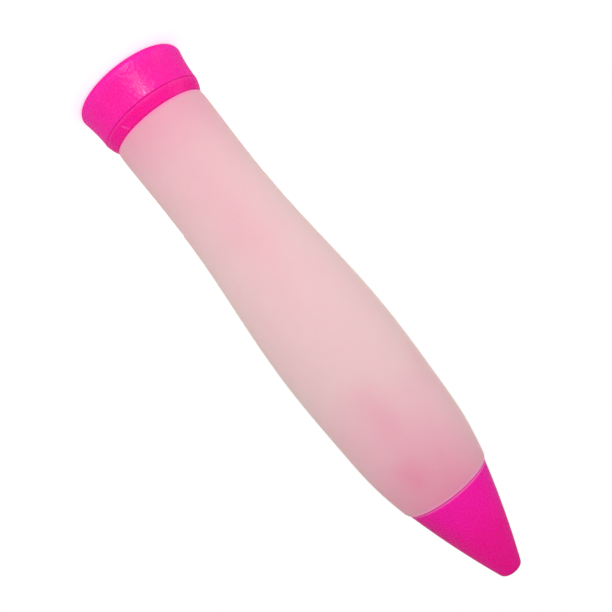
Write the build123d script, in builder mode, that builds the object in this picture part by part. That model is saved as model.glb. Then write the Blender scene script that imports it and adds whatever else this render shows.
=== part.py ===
from build123d import *
import os

# An icing pen. A silicone tube holds the icing and is squeezed by hand. Each of its
# ends grips a plastic collar. A flared cap screws onto the rear collar, where the pen
# is filled. A writing nozzle screws onto the front collar, under a blunt cone that
# pushes on as its cover.
# The pen stands on the flat face of its cap, at z = 0, and its axis is Z, up to the
# tip. Lengths are in millimetres. "Shares" are shares of the sizes that they name.

# Silicone tube
tube_length = 118.3
waist_radius = 13.29  # outside, at the slim part near the cap
belly_radius = 16.34  # outside, where the hand squeezes
tube_wall = 2.2
rear_edge_round = 0.9
front_edge_round = 1.3

# The tube's side, from its rear end to its front end. Each point is a share of the
# length and a share of the step from the waist's radius to the belly's.
front_ring_shares = (0.95, 0.25)
side_shares = [
    (0, 0.12),
    (0.15, 0),
    (0.3, 0.142),
    (0.45, 0.618),
    (0.63, 0.99),
    (0.8, 0.81),
    (0.9, 0.555),
    front_ring_shares,
    (1, -0.18),
]

# Fits between pieces
grip_gap = 0.1  # silicone tube to the skirts that it grips
thread_gap = 0.2  # beside a thread, all round
seal_gap = 0.15  # above, below and around a seal
push_gap = 0.15  # cover to the land that it pushes onto
hidden_gap = 0.4  # nozzle to the inside of its cover

# Rings round the skirts, which hold them in grooves of the tube
ring_height = 0.7
ring_width = 1.8
ring_crest_share = 0.4  # of the width

# Threads: the widths of a ridge, as shares of the lead
ridge_root_share = 0.5
ridge_crest_share = 0.28

# Rear collar
skirt_length = 10.5
skirt_wall = 1.5
band_height = 3.3
band_side_height = 1.1
band_side_taper = 0.3
band_end_taper = 1.1  # from the side to the tube
band_bend_round = 1.2
band_edge_round = 0.3
band_step = 0.12  # how far the band stays inside the cap's mouth
filler_spigot_length = 7.2
filler_spigot_wall = 1.9
filler_ridge_height = 0.9
filler_lead = 2.4
filler_ridge_turns = 1.4
ring_place_share = 0.55  # of the skirt's length, from the band

# Seal of the rear collar
cap_seal_width = 1.6
cap_seal_thickness = 1.0

# End cap
cap_height = 10.34
cap_gap = 0.06  # the fine line between cap and band, which are screwed tight
cap_floor = 1.9
cap_wall = 2.04  # at the mouth, beside the thread
cap_flare = 1.32  # how far the rim would stand out past the mouth without its rounding
cap_hollow = 0.37  # how deep the flare is curved in
cap_rim_round = 1.7
cap_mouth_round = 0.35
cap_ridge_turns = 1.0

# Front collar
bell_length = 16.0
bell_wall = 1.65
bell_taper_share = 0.7  # of the bell's length, before its bore narrows to the throat
land_length = 2.4
land_inset = 0.2  # how far the land stays inside the tube's bore
front_spigot_length = 5.8
front_spigot_wall = 1.15
front_ridge_height = 0.7
front_lead = 2.0
front_ridge_turns = 1.6
throat_rise_share = 0.5  # of the land's length, where the throat is down to its bore

# Cover
cover_gap = 0.2  # the dark line between tube and cover
cover_length = 27.8
cover_wall = 1.15
cover_base_wall = 1.75
cover_end_wall = 1.6
cover_tip_radius = 3.0  # outside, before the tip is rounded
cover_bulge = 0.45  # how far the cone's side is curved out
cover_tip_round = 1.5
cover_base_round = 0.35

# Nozzle
nozzle_wall = 1.15
nozzle_flange_height = 2.2
nozzle_flange_step = 1.5  # how far the flange stands out from the nozzle's body
nozzle_base_gap = 0.2
nozzle_tip_radius = 1.6
nozzle_tip_gap = 0.9
nozzle_shoulder = 0.8
nozzle_ridge_turns = 1.6
orifice_radius = 0.9
orifice_length = 1.2
flute_radius = 0.8
flute_count = 16

# Seal of the nozzle
nozzle_seal_thickness = 0.9

overrun = 0.5  # how far a cut runs past what it cuts
root_sink = 0.2  # how far a ridge is sunk into the wall that carries it

# Levels along the axis
band_bottom = cap_height + cap_gap
tube_bottom = band_bottom + band_height
tube_top = tube_bottom + tube_length
cover_bottom = tube_top + cover_gap
cover_top = cover_bottom + cover_length
land_top = cover_bottom + land_length
front_spigot_top = land_top + front_spigot_length
filler_spigot_bottom = band_bottom - filler_spigot_length

# Radii of the rear collar and the cap, from the tube's bore outwards
tube_swell = belly_radius - waist_radius
rear_bore_radius = waist_radius - tube_wall
filler_radius = rear_bore_radius - grip_gap - skirt_wall
filler_core_radius = filler_radius + filler_spigot_wall
filler_crest_radius = filler_core_radius + filler_ridge_height
cap_socket_radius = filler_crest_radius + thread_gap
cap_mouth_radius = cap_socket_radius + cap_wall
band_radius = cap_mouth_radius - band_step

# Radii of the cover, from the tube's front end outwards
front_bore_radius = waist_radius + side_shares[-1][1] * tube_swell - tube_wall
land_radius = front_bore_radius - land_inset
cover_bore_radius = land_radius + push_gap
cover_cavity_top = cover_top - cover_end_wall
cover_cavity_radius = cover_tip_radius - cover_wall
cover_cavity_slope = (cover_bore_radius - cover_cavity_radius) / (cover_cavity_top - land_top)


def cover_inside(height):
    """Radius of the cover's hollow at a height above the land."""
    return cover_bore_radius - (height - land_top) * cover_cavity_slope


# Radii of the nozzle and the front spigot, from the cover's hollow inwards
nozzle_bottom = land_top + nozzle_base_gap
nozzle_flange_top = nozzle_bottom + nozzle_flange_height
nozzle_seal_bottom = front_spigot_top + seal_gap
nozzle_socket_top = nozzle_seal_bottom + nozzle_seal_thickness + seal_gap
nozzle_shoulder_top = nozzle_socket_top + nozzle_shoulder
nozzle_radius = cover_inside(nozzle_shoulder_top) - hidden_gap
nozzle_socket_radius = nozzle_radius - nozzle_wall
front_crest_radius = nozzle_socket_radius - thread_gap
front_core_radius = front_crest_radius - front_ridge_height
throat_radius = front_core_radius - front_spigot_wall
nozzle_top = cover_cavity_top - nozzle_tip_gap


def tube_side(inset):
    """Draws the tube's curved side, moved in by inset, from its rear end to its front end."""
    return Spline(
        [
            (
                waist_radius + bulge_share * tube_swell - inset,
                tube_bottom + length_share * tube_length,
            )
            for length_share, bulge_share in side_shares
        ]
    )


def tube_filling(inset):
    """The solid inside the tube's side, moved in by inset."""
    with BuildPart() as filling:
        with BuildSketch(Plane.XZ):
            with BuildLine():
                side = tube_side(inset)
                Polyline(side @ 1, (0, tube_top), (0, tube_bottom), side @ 0)
            make_face()
        revolve(axis=Axis.Z)
    return filling.part


def holding_ring(bore_radius, middle, gap):
    """A ring that stands out of a skirt, made larger by gap for the groove that takes it."""
    half_root = ring_width / 2 + gap
    half_crest = half_root * ring_crest_share
    with BuildPart() as ring:
        with BuildSketch(Plane.XZ):
            with BuildLine():
                Polyline(
                    (bore_radius - ring_height, middle - half_root),
                    (bore_radius - grip_gap, middle - half_root),
                    (bore_radius + ring_height - grip_gap + gap, middle - half_crest),
                    (bore_radius + ring_height - grip_gap + gap, middle + half_crest),
                    (bore_radius - grip_gap, middle + half_root),
                    (bore_radius - ring_height, middle + half_root),
                    close=True,
                )
            make_face()
        revolve(axis=Axis.Z)
    return ring.part


def thread_ridge(root_radius, height, lead, turns, start):
    """A helical ridge on a wall. It stands out from the axis, or inwards if height is negative."""
    half_root = lead * ridge_root_share / 2
    half_crest = lead * ridge_crest_share / 2
    half_foot = half_root + (half_root - half_crest) * root_sink / abs(height)
    foot = root_sink if height < 0 else -root_sink
    with BuildPart() as ridge:
        with BuildLine() as path:
            helix = Helix(lead, lead * turns, root_radius, center=(0, 0, start))
        with BuildSketch(Plane(helix @ 0, x_dir=(1, 0, 0), z_dir=helix % 0)):
            with BuildLine():
                Polyline(
                    (foot, half_foot),
                    (height, half_crest),
                    (height, -half_crest),
                    (foot, -half_foot),
                    close=True,
                )
            make_face()
        sweep(path=path.line, is_frenet=True)
    return ridge.part


# The two ridges of a thread start half a lead apart, so that each runs in the middle of
# the other's groove.
filler_thread_start = filler_spigot_bottom + filler_lead * ridge_root_share
cap_thread_start = filler_thread_start + filler_lead / 2
nozzle_thread_start = nozzle_bottom + front_lead * ridge_root_share / 2 + thread_gap
front_thread_start = nozzle_thread_start + front_lead / 2

filler_ridge = thread_ridge(
    filler_core_radius, filler_ridge_height, filler_lead, filler_ridge_turns, filler_thread_start
)
cap_ridge = thread_ridge(
    cap_socket_radius, -filler_ridge_height, filler_lead, cap_ridge_turns, cap_thread_start
)
front_ridge = thread_ridge(
    front_core_radius, front_ridge_height, front_lead, front_ridge_turns, front_thread_start
)
nozzle_ridge = thread_ridge(
    nozzle_socket_radius, -front_ridge_height, front_lead, nozzle_ridge_turns, nozzle_thread_start
)

rear_ring_middle = tube_bottom + skirt_length * ring_place_share
front_ring_middle = tube_bottom + front_ring_shares[0] * tube_length
front_ring_bore = waist_radius + front_ring_shares[1] * tube_swell - tube_wall

# End cap: a flared cup with a thread inside and a wide step at its mouth for the seal
seal_seat_radius = filler_core_radius + seal_gap + cap_seal_width + seal_gap
seal_seat_depth = seal_gap + cap_seal_thickness + seal_gap - cap_gap

with BuildPart() as end_cap:
    with BuildSketch(Plane.XZ):
        with BuildLine():
            flare = SagittaArc(
                (cap_mouth_radius + cap_flare, 0), (cap_mouth_radius, cap_height), cap_hollow
            )
            Polyline(flare @ 1, (0, cap_height), (0, 0), flare @ 0)
        make_face()
    revolve(axis=Axis.Z)
    fillet(end_cap.faces().sort_by(Axis.Z)[0].edges(), cap_rim_round)
    fillet(end_cap.faces().sort_by(Axis.Z)[-1].edges(), cap_mouth_round)
    with BuildSketch(Plane.XY.offset(cap_floor)):
        Circle(cap_socket_radius)
    extrude(amount=cap_height - cap_floor + overrun, mode=Mode.SUBTRACT)
    with BuildSketch(Plane.XY.offset(cap_height - seal_seat_depth)):
        Circle(seal_seat_radius)
    extrude(amount=seal_seat_depth + overrun, mode=Mode.SUBTRACT)
    add(cap_ridge)

# Seal of the rear collar: a flat ring round the root of the spigot, under the band
with BuildPart() as cap_seal:
    with BuildSketch(Plane.XY.offset(band_bottom - seal_gap - cap_seal_thickness)):
        Circle(filler_core_radius + seal_gap + cap_seal_width)
        Circle(filler_core_radius + seal_gap, mode=Mode.SUBTRACT)
    extrude(amount=cap_seal_thickness)

# Rear collar: a tapered band with a threaded spigot below it and a gripped skirt above
with BuildPart() as filler_collar:
    add(tube_filling(tube_wall + grip_gap))
    with BuildSketch(Plane.XY.offset(tube_bottom)):
        Circle(band_radius)
    extrude(amount=skirt_length, mode=Mode.INTERSECT)
    add(holding_ring(rear_bore_radius, rear_ring_middle, 0))
    with BuildSketch(Plane.XZ):
        with BuildLine():
            Polyline(
                (0, band_bottom),
                (band_radius, band_bottom),
                (band_radius - band_side_taper, band_bottom + band_side_height),
                (band_radius - band_side_taper - band_end_taper, tube_bottom),
                (0, tube_bottom),
                close=True,
            )
        band = make_face()
        band_edge, band_bend = band.vertices().sort_by(Axis.X)[-1:-3:-1]
        fillet(band_bend, band_bend_round)
        fillet(band_edge, band_edge_round)
    revolve(axis=Axis.Z)
    with BuildSketch(Plane.XY.offset(filler_spigot_bottom)):
        Circle(filler_core_radius)
    extrude(amount=filler_spigot_length)
    add(filler_ridge)
    with BuildSketch(Plane.XY.offset(filler_spigot_bottom - overrun)):
        Circle(filler_radius)
    extrude(amount=tube_bottom + skirt_length - filler_spigot_bottom + 2 * overrun, mode=Mode.SUBTRACT)

# Silicone tube: one wavy shell, open at both ends, grooved for the rings of its collars
with BuildPart() as squeeze_tube:
    add(tube_filling(0))
    fillet(squeeze_tube.faces().sort_by(Axis.Z)[0].edges(), rear_edge_round)
    fillet(squeeze_tube.faces().sort_by(Axis.Z)[-1].edges(), front_edge_round)
    add(tube_filling(tube_wall), mode=Mode.SUBTRACT)
    add(holding_ring(rear_bore_radius, rear_ring_middle, grip_gap), mode=Mode.SUBTRACT)
    add(holding_ring(front_ring_bore, front_ring_middle, grip_gap), mode=Mode.SUBTRACT)

# Front collar: a bell in the tube's front end, a land for the cover and a threaded spigot
bell_bottom = tube_top - bell_length
bell_mouth_radius = front_ring_bore - grip_gap - bell_wall
bell_taper_top = bell_bottom + bell_length * bell_taper_share
throat_bottom = cover_bottom + land_length * throat_rise_share

with BuildPart() as nozzle_holder:
    add(tube_filling(tube_wall + grip_gap))
    with BuildSketch(Plane.XY.offset(bell_bottom)):
        Circle(belly_radius)
    extrude(amount=bell_length, mode=Mode.INTERSECT)
    add(holding_ring(front_ring_bore, front_ring_middle, 0))
    with BuildSketch(Plane.XY.offset(tube_top)):
        Circle(land_radius)
    extrude(amount=land_top - tube_top)
    with BuildSketch(Plane.XY.offset(land_top)):
        Circle(front_core_radius)
    extrude(amount=front_spigot_length)
    add(front_ridge)
    with BuildSketch(Plane.XZ):
        with BuildLine():
            Polyline(
                (0, bell_bottom - overrun),
                (bell_mouth_radius, bell_bottom - overrun),
                (bell_mouth_radius, bell_taper_top),
                (throat_radius, throat_bottom),
                (throat_radius, front_spigot_top + overrun),
                (0, front_spigot_top + overrun),
                close=True,
            )
        make_face()
    revolve(axis=Axis.Z, mode=Mode.SUBTRACT)

# Seal of the nozzle: a washer between the end of the spigot and the nozzle's shoulder
with BuildPart() as nozzle_seal:
    with BuildSketch(Plane.XY.offset(nozzle_seal_bottom)):
        Circle(nozzle_socket_radius - seal_gap)
        Circle(throat_radius + seal_gap, mode=Mode.SUBTRACT)
    extrude(amount=nozzle_seal_thickness)

# Nozzle: a threaded socket with a fluted flange, and a cone down to the fine hole
with BuildPart() as nozzle:
    with BuildSketch(Plane.XZ):
        with BuildLine():
            Polyline(
                (0, nozzle_bottom),
                (nozzle_radius + nozzle_flange_step, nozzle_bottom),
                (nozzle_radius + nozzle_flange_step, nozzle_flange_top),
                (nozzle_radius, nozzle_flange_top),
                (nozzle_radius, nozzle_shoulder_top),
                (nozzle_tip_radius, nozzle_top),
                (0, nozzle_top),
                close=True,
            )
        make_face()
    revolve(axis=Axis.Z)
    with BuildSketch(Plane.XY.offset(nozzle_bottom - overrun)):
        with PolarLocations(nozzle_radius + nozzle_flange_step, flute_count):
            Circle(flute_radius)
    extrude(amount=nozzle_flange_height + 2 * overrun, mode=Mode.SUBTRACT)
    with BuildSketch(Plane.XZ):
        with BuildLine():
            Polyline(
                (0, nozzle_bottom - overrun),
                (nozzle_socket_radius, nozzle_bottom - overrun),
                (nozzle_socket_radius, nozzle_socket_top),
                (throat_radius, nozzle_socket_top),
                (throat_radius, nozzle_shoulder_top),
                (orifice_radius, nozzle_top - orifice_length),
                (orifice_radius, nozzle_top + overrun),
                (0, nozzle_top + overrun),
                close=True,
            )
        make_face()
    revolve(axis=Axis.Z, mode=Mode.SUBTRACT)
    add(nozzle_ridge)

# Cover: a blunt, slightly rounded cone, hollow, that pushes onto the land
cover_base_radius = cover_bore_radius + cover_base_wall

with BuildPart() as nozzle_cover:
    with BuildSketch(Plane.XZ):
        with BuildLine():
            side = SagittaArc(
                (cover_base_radius, cover_bottom), (cover_tip_radius, cover_top), -cover_bulge
            )
            Polyline(side @ 1, (0, cover_top), (0, cover_bottom), side @ 0)
        make_face()
    revolve(axis=Axis.Z)
    fillet(nozzle_cover.faces().sort_by(Axis.Z)[0].edges(), cover_base_round)
    fillet(nozzle_cover.faces().sort_by(Axis.Z)[-1].edges(), cover_tip_round)
    with BuildSketch(Plane.XZ):
        with BuildLine():
            Polyline(
                (0, cover_bottom - overrun),
                (cover_bore_radius, cover_bottom - overrun),
                (cover_bore_radius, land_top),
                (cover_cavity_radius, cover_cavity_top),
                (0, cover_cavity_top),
                close=True,
            )
        make_face()
    revolve(axis=Axis.Z, mode=Mode.SUBTRACT)

pieces = {
    "end_cap": end_cap,
    "cap_seal": cap_seal,
    "filler_collar": filler_collar,
    "squeeze_tube": squeeze_tube,
    "nozzle_holder": nozzle_holder,
    "nozzle_seal": nozzle_seal,
    "nozzle": nozzle,
    "nozzle_cover": nozzle_cover,
}

os.makedirs("parts", exist_ok=True)
for name, piece in pieces.items():
    piece.part.label = name
    export_step(piece.part, f"parts/{name}.step")
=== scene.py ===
import math

import bmesh
import bpy
from mathutils import Matrix, Vector


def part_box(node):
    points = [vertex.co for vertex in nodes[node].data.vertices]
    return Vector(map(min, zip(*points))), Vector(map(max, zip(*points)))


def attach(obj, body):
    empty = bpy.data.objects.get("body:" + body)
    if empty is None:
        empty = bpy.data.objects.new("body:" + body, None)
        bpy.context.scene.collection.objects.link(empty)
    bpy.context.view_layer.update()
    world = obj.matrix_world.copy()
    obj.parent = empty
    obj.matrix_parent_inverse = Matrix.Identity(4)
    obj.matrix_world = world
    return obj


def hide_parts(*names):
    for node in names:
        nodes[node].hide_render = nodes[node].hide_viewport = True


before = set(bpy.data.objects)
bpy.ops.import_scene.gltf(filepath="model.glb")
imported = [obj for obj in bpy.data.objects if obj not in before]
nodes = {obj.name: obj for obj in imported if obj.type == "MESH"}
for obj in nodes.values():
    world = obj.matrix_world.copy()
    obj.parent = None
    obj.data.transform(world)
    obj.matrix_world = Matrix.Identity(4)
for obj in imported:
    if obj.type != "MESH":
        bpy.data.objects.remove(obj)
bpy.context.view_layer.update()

MM = 0.001
WHITE = "FFFFFF"

# Camera: in the photograph the pen lies with its tip down to the right. In the frame it
# stands on its cap, so the camera is rolled.
PICTURE_SIDE = 612
FOCAL_PIXELS = 794
SENSOR = 36  # in millimetres, as the lens is
CAMERA_DISTANCE = 205 * MM
AIM_HEIGHT = 73.66 * MM
AIM_ASIDE = 0.31 * MM
TIP_FALL = math.radians(51.77)  # how far the pen's axis drops below the picture's horizontal

# Levels of the pieces
COLLAR_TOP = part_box("filler_collar")[1].z
BELL_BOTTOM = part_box("nozzle_holder")[0].z
TUBE_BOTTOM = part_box("squeeze_tube")[0].z
TUBE_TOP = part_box("squeeze_tube")[1].z
BAND_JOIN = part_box("end_cap")[1].z
COVER_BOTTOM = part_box("nozzle_cover")[0].z
COVER_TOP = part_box("nozzle_cover")[1].z

# Paper: its white, and what it adds to that to look plain white, less near the pen, where the lamps reach
# it and the pen's shadow stays. Room: how strongly it lights the pen. Paper and room are plain white only
# to the camera's own rays. That holds here because neither metal nor glass is on the pen, so nothing
# mirrors them.
PAPER_WHITE = "F4F4F4"
NEAR_GLOW = 0.5
FAR_GLOW = 0.66
GLOW_START = 180 * MM
GLOW_END = 240 * MM
PAPER_HALF = 40  # half the side of the sheet in metres, so that it reaches almost to the horizon
ROOM_LIGHT = 0.42

# Lamps: place, the point that each is turned to and side, in millimetres, and watts. The table lamp is
# under the paper.
LAMPS = {
    "front_softbox": ((-40, -240, 60), (0, 0, 70), 130, 0.157),
    "tip_softbox": ((-50, -200, 225), (0, 0, 105), 140, 0.064),
    "table_softbox": ((-52, -230, -62), (0, 0, 10), 68, 0.145),
    "right_softbox": ((-240, -45, 60), (0, 0, 60), 150, 0.071),
    "left_softbox": ((240, -45, 60), (0, 0, 60), 260, 0.178),
    "back_right_softbox": ((-190, 160, 60), (0, 0, 60), 180, 0.04),
    "back_left_softbox": ((190, 160, 60), (0, 0, 60), 180, 0.04),
    "back_softbox": ((0, 240, 90), (0, 0, 75), 200, 0.24),
}

# The lamps whose gleam shows on the pen. The others add no glare, as if they were polarised.
GLEAMING = ("table_softbox", "right_softbox")

# Noise: the middle part of its range, which is stretched to the full range
NOISE_LOW = 0.3
NOISE_HIGH = 0.7

# Silicone: its colours, and the heights between which each collar's pink fades in, with its share. This
# pink is partly the magenta collars seen through the milky wall and partly a painted glow of their light
# spreading along it.
PALE_SILICONE = "E6C2C5"
PINK_SILICONE = "E68CAB"
COLLAR_GLOWS = [
    (58 * MM, 16 * MM, 0.3),
    (COLLAR_TOP + 4 * MM, TUBE_BOTTOM, 0.35),
    (BELL_BOTTOM - 24 * MM, TUBE_TOP, 0.7),
    (BELL_BOTTOM, TUBE_TOP, 0.25),
]

# Pinker and paler clouds: middle and reach in millimetres, and how much pinker. The paler ones, all on the
# -X side, are painted sheen from the lamp on that side.
CLOUDS = [
    ((0, -15, 48), (9, 9, 34), 0.16),
    ((-3.4, -14, 54), (4, 6, 8), 0.06),
    ((2, -16, 106), (6, 8, 14), 0.16),
    ((5, -15, 121), (7, 8, 9), 0.22),
    ((3, 15, 76), (10, 9, 30), 0.16),
    ((-4, 14, 118), (8, 8, 10), 0.2),
    ((-14, -8, 124), (13, 14, 22), -0.3),
    ((-8, -14, 98), (12, 10, 26), -0.13),
    ((-14, -6, 55), (8, 12, 40), -0.16),
    ((14, -8, 118), (9, 12, 26), 0.04),
]
CLOUD_SIZE = 30 * MM
CLOUD_DETAIL = 6
CLOUD_ROUGHNESS = 0.8
CLOUD_SHARE = 0.09

# Silicone's matt skin: its grain, drawn coarse enough to show, its gloss and soft sheen, and how deep
# light goes in
SILICONE_GRAIN = 0.8 * MM
SILICONE_DETAIL = 2
SILICONE_RELIEF = 0.03 * MM
SILICONE_RELIEF_SHARE = 0.7
SILICONE_SKIN = {
    "IOR": 1.41,
    "Roughness": 0.6,
    "Specular IOR Level": 0.5,
    "Sheen Weight": 0.42,
    "Sheen Roughness": 0.5,
    "Subsurface Weight": 0.6,
    "Subsurface Radius": (1, 0.6, 0.6),
    "Subsurface Scale": 1.5 * MM,
}
SHEEN_TINT = "FFEED6"

# Thin ends of the tube, tinted lighter as a painted glow where more light comes through, and the colour of
# the painted highlight on plastic edges and on the band's flow mark
LIP_REACH = 1 * MM
FRONT_LIP_GLOW = "FF98C8"
REAR_LIP_GLOW = "FF8CBE"
LIP_SHARE = 1.3
PAINTED_HIGHLIGHT = "FF78CC"

# Flow mark on the band: its middle, the ways along and across it, its length, half its width and its
# share. It keeps its full share along its middle half. It is drawn only as a lighter line, a painted
# highlight along the flow line.
MARK_PLACE = Vector((7.37, 0, 12.3)) * MM
MARK_WAY = Vector((-0.603, 0, 0.797))
MARK_ACROSS = Vector((0.797, 0, 0.603))
MARK_LENGTH = 2.4 * MM
MARK_HALF = 0.22 * MM
MARK_FULLNESS = 2
MARK_SHARE = 0.5

# Polypropylene: its colours, each with the one that flows through it, and its gloss where it faces the eye
CAP_PINK = ("FA08A4", "F8049E")
BAND_PINK = ("FA0498", "F60292")
COVER_PINK = ("FC089C", "F80496")
CAP_SHINE = 0.42
BAND_SHINE = 0.3
COVER_SHINE = 0.25

# Lines round the plastic pieces: colour, level, how far they fade to both sides, and share. They paint
# light and
# shade into the colour: painted shade in the joins, painted highlights on edges, and lighter or darker
# bands where more or less light falls.
PAINTED_GROOVE_SHADE = "BE0A6C"
# Painted light: the cap is lighter and more violet towards its rim, where more light falls. Painted shade:
# a faint dark line in the join with the band.
CAP_LINES = [
    ("FF2CC8", 0.5 * MM, 3.5 * MM, 0.4),
    (PAINTED_GROOVE_SHADE, BAND_JOIN, 0.5 * MM, 0.1),
]
# Painted highlight along the band's edge next to the cap, and painted shade in the band's join with the
# tube
BAND_LINES = [
    (PAINTED_HIGHLIGHT, BAND_JOIN + 0.35 * MM, 0.3 * MM, 0.12),
    (PAINTED_GROOVE_SHADE, TUBE_BOTTOM, 0.6 * MM, 0.85),
]
# Painted light: lighter towards the cover's base. Painted shade: darker towards its tip, and in its join
# with the tube. Painted highlight along the base's edge.
COVER_LINES = [
    ("FF14BC", COVER_BOTTOM, 14 * MM, 0.4),
    ("E60080", COVER_TOP, 18 * MM, 0.6),
    (PAINTED_GROOVE_SHADE, COVER_BOTTOM, 0.2 * MM, 0.5),
    (PAINTED_HIGHLIGHT, COVER_BOTTOM + 0.35 * MM, 0.35 * MM, 0.75),
]

# Painted shade: a deeper crimson on the cover's +X side, where less light falls: colour, middle and reach
# in millimetres, and share
COVER_SHADE_PATCHES = [("C00050", (14, -4, 142), (13, 16, 22), 0.5)]

# Polypropylene's skin: how the pigment flows, the grain's size and relief, how rough its pits and crests
# are, and how the gloss falls off towards the edges. The grain is drawn coarse enough to show.
FLOW_SIZE = 14 * MM
FLOW_DETAIL = 2
GRAIN_SIZE = 0.65 * MM
GRAIN_DETAIL = 1
GRAIN_ROUGHNESS = 0.5
GRAIN_LOW = 0.4
GRAIN_HIGH = 0.6
GRAIN_RELIEF = 0.036 * MM
PIT_ROUGHNESS = 0.37
CREST_ROUGHNESS = 0.2
FACING_BLEND = 0.5
FACING_START = 0.1
FACING_END = 0.7
EDGE_SHINE = 0.04
PLASTIC_SKIN = {
    "IOR": 1.49,
    "Subsurface Weight": 0.3,
    "Subsurface Radius": (1, 0.3, 0.6),
    "Subsurface Scale": 0.8 * MM,
}

# Silicone tube's mesh
TUBE_STEP = 0.8 * MM
TUBE_SEGMENTS = 192
SHOULDER_REACH = 1.4 * MM
SHOULDER_DROP = 0.22 * MM
SHOULDER_POWER = 4  # a higher one keeps the shoulder full for longer
SHOULDER_SHARES = (0.1, 0.2, 0.3, 0.4, 0.5, 0.6, 0.7, 0.78, 0.85, 0.9, 0.94, 0.97, 0.99, 1)
SHARP_ANGLE = math.radians(40)
SAME_PLACE = 1e-7  # metres between corners that are merged
DECIMALS = 6  # of a metre, to which the CAD piece's corners are told apart
OUTWARDS = 0.2  # the least share of a face's normal that points away from the axis
FACET_DEPTH = 0.006 * MM  # how far the tube is drawn in, so that it stays inside the CAD piece's facets

# Seals: how round their corners are, and the steps of the arcs in degrees
SEAL_ROUND = 0.3 * MM
QUARTER = 90
ARC_STEP = 15


def linear(colour):
    """Turns an sRGB hex colour into linear red, green, blue and a full alpha."""
    parts = [int(colour[place:place + 2], 16) / 255 for place in (0, 2, 4)]
    return [part / 12.92 if part <= 0.04045 else ((part + 0.055) / 1.055) ** 2.4 for part in parts] + [1]


def add_node(tree, kind, values=None, links=None, **settings):
    """Adds a node with its settings, its inputs' values and what its inputs are linked to."""
    node = tree.nodes.new(kind)
    for name, value in settings.items():
        setattr(node, name, value)
    for name, value in (values or {}).items():
        node.inputs[name].default_value = value
    for name, socket in (links or {}).items():
        tree.links.new(socket, node.inputs[name])
    return node


def new_material(name):
    """A material with an empty node tree."""
    material = bpy.data.materials.new(name)
    material.use_nodes = True
    material.node_tree.nodes.clear()
    return material, material.node_tree


def photo_camera():
    """The photograph's camera."""
    back = Vector((0, -1, 0))
    along = Vector((0, 0, 1))
    across = back.cross(along)
    right = along * math.cos(TIP_FALL) + across * math.sin(TIP_FALL)
    up = across * math.cos(TIP_FALL) - along * math.sin(TIP_FALL)
    data = bpy.data.cameras.new("photo_camera")
    data.sensor_width = SENSOR
    data.lens = SENSOR * FOCAL_PIXELS / PICTURE_SIDE
    camera = bpy.data.objects.new("photo_camera", data)
    aim = Vector((0, 0, AIM_HEIGHT)) + across * AIM_ASIDE
    turn = Matrix((right, up, back)).transposed().to_4x4()
    camera.matrix_world = Matrix.Translation(aim + back * CAMERA_DISTANCE) @ turn
    bpy.context.scene.collection.objects.link(camera)
    bpy.context.scene.camera = camera


def white_paper():
    """Matt white paper under the pen. It stays white to the camera and keeps a soft shadow."""
    material, tree = new_material("white_paper")
    paper = add_node(tree, "ShaderNodeBsdfDiffuse", {"Color": linear(PAPER_WHITE)})
    seen = add_node(tree, "ShaderNodeLightPath").outputs["Is Camera Ray"]
    place = add_node(tree, "ShaderNodeTexCoord").outputs["Object"]
    away = add_node(tree, "ShaderNodeVectorMath", links={0: place}, operation="LENGTH").outputs["Value"]
    rise = {"From Min": GLOW_START, "From Max": GLOW_END, "To Min": NEAR_GLOW, "To Max": FAR_GLOW}
    glow = add_node(tree, "ShaderNodeMapRange", rise, {"Value": away}).outputs[0]
    strength = add_node(tree, "ShaderNodeMath", links={0: seen, 1: glow}, operation="MULTIPLY").outputs[0]
    light = add_node(tree, "ShaderNodeEmission", links={"Strength": strength})
    both = add_node(tree, "ShaderNodeAddShader", links={0: paper.outputs[0], 1: light.outputs[0]})
    add_node(tree, "ShaderNodeOutputMaterial", links={"Surface": both.outputs[0]})
    mesh = bpy.data.meshes.new("paper")
    shape = bmesh.new()
    bmesh.ops.create_grid(shape, x_segments=1, y_segments=1, size=PAPER_HALF)
    shape.to_mesh(mesh)
    shape.free()
    mesh.materials.append(material)
    sheet = bpy.data.objects.new("paper", mesh)
    bpy.context.scene.collection.objects.link(sheet)
    return sheet


def white_room():
    """An even white room, plain white to the camera and dimmer as a light."""
    world = bpy.data.worlds.new("white_room")
    world.use_nodes = True
    tree = world.node_tree
    tree.nodes.clear()
    seen = add_node(tree, "ShaderNodeLightPath").outputs["Is Camera Ray"]
    strength = add_node(tree, "ShaderNodeMath", {1: ROOM_LIGHT}, {0: seen},
                        operation="MAXIMUM").outputs[0]
    white = add_node(tree, "ShaderNodeBackground", {"Color": linear(WHITE)}, {"Strength": strength})
    add_node(tree, "ShaderNodeOutputWorld", links={"Surface": white.outputs[0]})
    bpy.context.scene.world = world


def softboxes(paper):
    """Square soft lamps that no camera sees. Like a shooting table's, the paper lets light through."""
    through = bpy.data.collections.new("lets_light_through")
    through.objects.link(paper)
    through.collection_objects[0].light_linking.link_state = "EXCLUDE"
    for name, (place, aim, side, watts) in LAMPS.items():
        data = bpy.data.lights.new(name, "AREA")
        data.shape = "SQUARE"
        data.size = side * MM
        data.energy = watts
        lamp = bpy.data.objects.new(name, data)
        place = Vector(place) * MM
        lamp.location = place
        lamp.rotation_mode = "QUATERNION"
        lamp.rotation_quaternion = (Vector(aim) * MM - place).to_track_quat("-Z", "Y")
        lamp.visible_camera = False
        lamp.visible_glossy = name in GLEAMING
        lamp.light_linking.blocker_collection = through
        bpy.context.scene.collection.objects.link(lamp)


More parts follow.
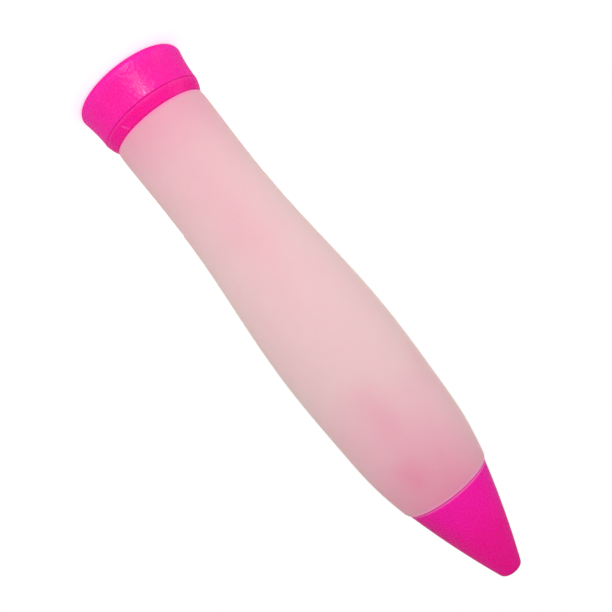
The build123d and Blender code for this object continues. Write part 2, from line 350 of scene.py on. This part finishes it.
def surface_outline(node, outside):
    """The radii and heights of a round CAD piece's outer or inner surface, from its mesh, by height."""
    mesh = nodes[node].data
    points = set()
    for face in mesh.polygons:
        away = Vector((face.center.x, face.center.y, 0)).normalized()
        facing = face.normal.dot(away)
        if (facing > OUTWARDS) if outside else (facing < -OUTWARDS):
            for corner in face.vertices:
                place = mesh.vertices[corner].co
                points.add((round(place.z, DECIMALS), round(math.hypot(place.x, place.y), DECIMALS)))
    return [(radius, height) for height, radius in sorted(points)]


def spaced(outline, step):
    """The outline again, with points a step apart along it."""
    lengths = [0]
    for (r0, z0), (r1, z1) in zip(outline, outline[1:]):
        lengths.append(lengths[-1] + math.hypot(r1 - r0, z1 - z0))
    count = max(1, round(lengths[-1] / step))
    points = []
    place = 0
    for number in range(count + 1):
        target = lengths[-1] * number / count
        while place < len(lengths) - 2 and lengths[place + 1] < target:
            place += 1
        share = (target - lengths[place]) / (lengths[place + 1] - lengths[place])
        (r0, z0), (r1, z1) = outline[place], outline[place + 1]
        points.append((r0 + (r1 - r0) * share, z0 + (z1 - z0) * share))
    return points


def turned(name, outline, material):
    """A closed outline of radii and heights, turned round the pen's axis."""
    shape = bmesh.new()
    corners = [shape.verts.new((radius, 0, height)) for radius, height in outline]
    edges = [shape.edges.new((a, b)) for a, b in zip(corners, corners[1:] + corners[:1])]
    bmesh.ops.spin(shape, geom=corners + edges, cent=(0, 0, 0), axis=(0, 0, 1), angle=math.tau,
                   steps=TUBE_SEGMENTS, use_merge=True, use_duplicate=False)
    bmesh.ops.remove_doubles(shape, verts=shape.verts, dist=SAME_PLACE)
    bmesh.ops.recalc_face_normals(shape, faces=shape.faces)
    mesh = bpy.data.meshes.new(name)
    shape.to_mesh(mesh)
    shape.free()
    mesh.shade_smooth()
    mesh.set_sharp_from_angle(angle=SHARP_ANGLE)
    mesh.materials.append(material)
    piece = bpy.data.objects.new(name, mesh)
    bpy.context.scene.collection.objects.link(piece)
    return piece


def shouldered(outline, bottom, top):
    """The tube's outer outline, drawn in at each end over a low shoulder to a tight edge at the plastic."""
    middle = [(radius, height) for radius, height in outline
              if bottom + SHOULDER_REACH < height < top - SHOULDER_REACH]
    ends = []
    for (r0, z0), (r1, z1), level in ((middle[2], middle[0], bottom), (middle[-3], middle[-1], top)):
        slope = (r1 - r0) / abs(z1 - z0)
        end = []
        for share in SHOULDER_SHARES:
            height = z1 + (level - z1) * share
            drop = SHOULDER_DROP * (1 - math.sqrt(1 - share ** SHOULDER_POWER))
            end.append((r1 + slope * abs(height - z1) - drop, height))
        ends.append(end)
    return ends[0][::-1] + middle + ends[1]


def seal_outline(node):
    """A flat ring's section with rounded corners, from the CAD ring's radii and levels."""
    radii = [math.hypot(corner.co.x, corner.co.y) for corner in nodes[node].data.vertices]
    low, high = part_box(node)
    middle = Vector(((min(radii) + max(radii)) / 2, (low.z + high.z) / 2))
    half = Vector(((max(radii) - min(radii)) / 2, (high.z - low.z) / 2))
    flat = half - Vector((SEAL_ROUND, SEAL_ROUND))
    points = []
    for corner, side in enumerate(((1, 1), (-1, 1), (-1, -1), (1, -1))):
        for angle in range(corner * QUARTER, (corner + 1) * QUARTER + 1, ARC_STEP):
            way = Vector((math.cos(math.radians(angle)), math.sin(math.radians(angle))))
            points.append(middle + flat * Vector(side) + way * SEAL_ROUND)
    return [tuple(point) for point in points]


def near_level(tree, height, level, reach, share):
    """A share that fades out over a reach to both sides of a level."""
    away = add_node(tree, "ShaderNodeMath", {1: level}, {0: height}, operation="SUBTRACT").outputs[0]
    away = add_node(tree, "ShaderNodeMath", links={0: away}, operation="ABSOLUTE").outputs[0]
    return add_node(tree, "ShaderNodeMapRange", {"From Max": reach, "To Min": share, "To Max": 0},
                    {"Value": away}).outputs[0]


def near_place(tree, place, middle, reach, share):
    """A share that fades out softly round a place, over its own reach along each axis."""
    away = add_node(tree, "ShaderNodeVectorMath", {1: Vector(middle) * MM}, {0: place},
                    operation="SUBTRACT")
    away = add_node(tree, "ShaderNodeVectorMath", {1: Vector(reach) * MM}, {0: away.outputs[0]},
                    operation="DIVIDE")
    away = add_node(tree, "ShaderNodeVectorMath", links={0: away.outputs[0]}, operation="LENGTH")
    return add_node(tree, "ShaderNodeMapRange", {"To Min": share, "To Max": 0},
                    {"Value": away.outputs["Value"]}, interpolation_type="SMOOTHSTEP").outputs[0]


def flow_mark(tree, place):
    """The share of a short slanting flow line, where the plastic met itself in the mould, painted lighter
    as a highlight along it.
    """
    away = add_node(tree, "ShaderNodeVectorMath", {1: MARK_PLACE}, {0: place},
                    operation="SUBTRACT").outputs[0]
    ahead, aside = [
        add_node(tree, "ShaderNodeVectorMath", {1: way}, {0: away},
                 operation="DOT_PRODUCT").outputs["Value"]
        for way in (MARK_WAY, MARK_ACROSS)
    ]
    along = near_level(tree, ahead, 0, MARK_LENGTH / 2, MARK_FULLNESS)
    along = add_node(tree, "ShaderNodeClamp", links={"Value": along}).outputs[0]
    share = near_level(tree, aside, 0, MARK_HALF, MARK_SHARE)
    front = add_node(tree, "ShaderNodeSeparateXYZ", links={"Vector": place}).outputs["Y"]
    front = add_node(tree, "ShaderNodeMath", {1: 0}, {0: front}, operation="LESS_THAN").outputs[0]
    for part in (along, front):
        share = add_node(tree, "ShaderNodeMath", links={0: share, 1: part},
                         operation="MULTIPLY").outputs[0]
    return share


def moulded_polypropylene(name, colours, shine, lines, shade_patches=(), marked=False):
    """Polypropylene from a spark-eroded mould: strong pigment under a satin, finely grained skin."""
    material, tree = new_material(name)
    place = add_node(tree, "ShaderNodeTexCoord").outputs["Object"]
    height = add_node(tree, "ShaderNodeSeparateXYZ", links={"Vector": place}).outputs["Z"]
    flow = add_node(tree, "ShaderNodeTexNoise", {"Scale": 1 / FLOW_SIZE, "Detail": FLOW_DETAIL},
                    {"Vector": place}).outputs["Fac"]
    pigment = add_node(tree, "ShaderNodeMapRange", {"From Min": NOISE_LOW, "From Max": NOISE_HIGH},
                       {"Value": flow}).outputs[0]
    tint = add_node(tree, "ShaderNodeMix", {"A": linear(colours[0]), "B": linear(colours[1])},
                    {"Factor": pigment}, data_type="RGBA").outputs["Result"]
    layers = [(line, near_level(tree, height, level, reach, share)) for line, level, reach, share in lines]
    # Patches of painted shade
    layers += [(shade_colour, near_place(tree, place, middle, reach, share))
               for shade_colour, middle, reach, share in shade_patches]
    # The flow mark is painted as a highlight
    if marked:
        layers.append((PAINTED_HIGHLIGHT, flow_mark(tree, place)))
    for colour, share in layers:
        tint = add_node(tree, "ShaderNodeMix", {"B": linear(colour)}, {"Factor": share, "A": tint},
                        data_type="RGBA").outputs["Result"]
    grain = add_node(tree, "ShaderNodeTexNoise",
                     {"Scale": 1 / GRAIN_SIZE, "Detail": GRAIN_DETAIL, "Roughness": GRAIN_ROUGHNESS},
                     {"Vector": place}).outputs["Fac"]
    bumps = add_node(tree, "ShaderNodeMapRange", {"From Min": GRAIN_LOW, "From Max": GRAIN_HIGH},
                     {"Value": grain}, interpolation_type="SMOOTHSTEP").outputs[0]
    polish = add_node(tree, "ShaderNodeMapRange", {"To Min": PIT_ROUGHNESS, "To Max": CREST_ROUGHNESS},
                      {"Value": bumps}).outputs[0]
    relief = add_node(tree, "ShaderNodeBump", {"Strength": 1, "Distance": GRAIN_RELIEF},
                      {"Height": bumps}).outputs[0]
    facing = add_node(tree, "ShaderNodeLayerWeight", {"Blend": FACING_BLEND}).outputs["Facing"]
    shines = {"From Min": FACING_START, "From Max": FACING_END, "To Min": shine, "To Max": EDGE_SHINE}
    gloss = add_node(tree, "ShaderNodeMapRange", shines, {"Value": facing}).outputs[0]
    look = {"Base Color": tint, "Roughness": polish, "Specular IOR Level": gloss, "Normal": relief}
    skin = add_node(tree, "ShaderNodeBsdfPrincipled", PLASTIC_SKIN, look)
    add_node(tree, "ShaderNodeOutputMaterial", links={"Surface": skin.outputs[0]})
    return material


def moulded_silicone(name):
    """Silicone rubber, moulded, milky and matt, pinker where the magenta collars shine through it.
    Its colour also holds painted glow along the wall and at the thin ends, and painted sheen on the -X
    side.
    """
    material, tree = new_material(name)
    place = add_node(tree, "ShaderNodeTexCoord").outputs["Object"]
    height = add_node(tree, "ShaderNodeSeparateXYZ", links={"Vector": place}).outputs["Z"]
    cloud = add_node(tree, "ShaderNodeTexNoise",
                     {"Scale": 1 / CLOUD_SIZE, "Detail": CLOUD_DETAIL, "Roughness": CLOUD_ROUGHNESS},
                     {"Vector": place}).outputs["Fac"]
    cloudy = {"From Min": NOISE_LOW, "From Max": NOISE_HIGH, "To Min": -CLOUD_SHARE, "To Max": CLOUD_SHARE}
    blush = add_node(tree, "ShaderNodeMapRange", cloudy, {"Value": cloud}).outputs[0]
    # The collars' pink with the painted glow of their light, then the clouds, whose paler ones are painted
    # sheen
    shares = [add_node(tree, "ShaderNodeMapRange", {"From Min": start, "From Max": end, "To Max": share},
                       {"Value": height}).outputs[0] for start, end, share in COLLAR_GLOWS]
    shares += [near_place(tree, place, middle, reach, share) for middle, reach, share in CLOUDS]
    for share in shares:
        blush = add_node(tree, "ShaderNodeMath", links={0: blush, 1: share}).outputs[0]
    blush = add_node(tree, "ShaderNodeClamp", links={"Value": blush}).outputs[0]
    tint = add_node(tree, "ShaderNodeMix", {"A": linear(PALE_SILICONE), "B": linear(PINK_SILICONE)},
                    {"Factor": blush}, data_type="RGBA").outputs["Result"]
    # Painted glow: the thin ends of the tube are tinted lighter, where more light comes through
    for lip_glow, level in ((REAR_LIP_GLOW, TUBE_BOTTOM), (FRONT_LIP_GLOW, TUBE_TOP)):
        share = near_level(tree, height, level, LIP_REACH, LIP_SHARE)
        tint = add_node(tree, "ShaderNodeMix", {"B": linear(lip_glow)}, {"Factor": share, "A": tint},
                        data_type="RGBA").outputs["Result"]
    grain = add_node(tree, "ShaderNodeTexNoise", {"Scale": 1 / SILICONE_GRAIN, "Detail": SILICONE_DETAIL},
                     {"Vector": place}).outputs["Fac"]
    relief = add_node(tree, "ShaderNodeBump",
                      {"Strength": SILICONE_RELIEF_SHARE, "Distance": SILICONE_RELIEF},
                      {"Height": grain}).outputs[0]
    skin = add_node(tree, "ShaderNodeBsdfPrincipled", {**SILICONE_SKIN, "Sheen Tint": linear(SHEEN_TINT)},
                    {"Base Color": tint, "Normal": relief})
    add_node(tree, "ShaderNodeOutputMaterial", links={"Surface": skin.outputs[0]})
    return material


def finish_plastic(node, material):
    """Gives a CAD piece its finished material."""
    for slot in nodes[node].material_slots:
        slot.material = material


photo_camera()
white_room()
softboxes(white_paper())

cap_plastic = moulded_polypropylene("cap_polypropylene", CAP_PINK, CAP_SHINE, CAP_LINES)
band_plastic = moulded_polypropylene("band_polypropylene", BAND_PINK, BAND_SHINE, BAND_LINES, marked=True)
cover_plastic = moulded_polypropylene("cover_polypropylene", COVER_PINK, COVER_SHINE, COVER_LINES,
                                      COVER_SHADE_PATCHES)
finish_plastic("end_cap", cap_plastic)
finish_plastic("filler_collar", band_plastic)
finish_plastic("nozzle_holder", band_plastic)
finish_plastic("nozzle", cover_plastic)
finish_plastic("nozzle_cover", cover_plastic)

silicone = moulded_silicone("platinum_silicone")
outer_face = [(radius - FACET_DEPTH, height) for radius, height in surface_outline("squeeze_tube", True)]
outer_face = shouldered(outer_face, TUBE_BOTTOM, TUBE_TOP)
inner_face = surface_outline("squeeze_tube", False)
tube_outline = spaced(outer_face, TUBE_STEP) + spaced(inner_face, TUBE_STEP)[::-1]
tube = turned("silicone_tube", tube_outline, silicone)
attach(tube, "barrel")
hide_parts("squeeze_tube")

seal_silicone = moulded_silicone("seal_silicone")
for seal, body in (("cap_seal", "rear_seal"), ("nozzle_seal", "front_seal")):
    ring = turned("moulded_" + seal, seal_outline(seal), seal_silicone)
    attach(ring, body)
    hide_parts(seal)

bpy.context.scene.view_settings.view_transform = "Standard"
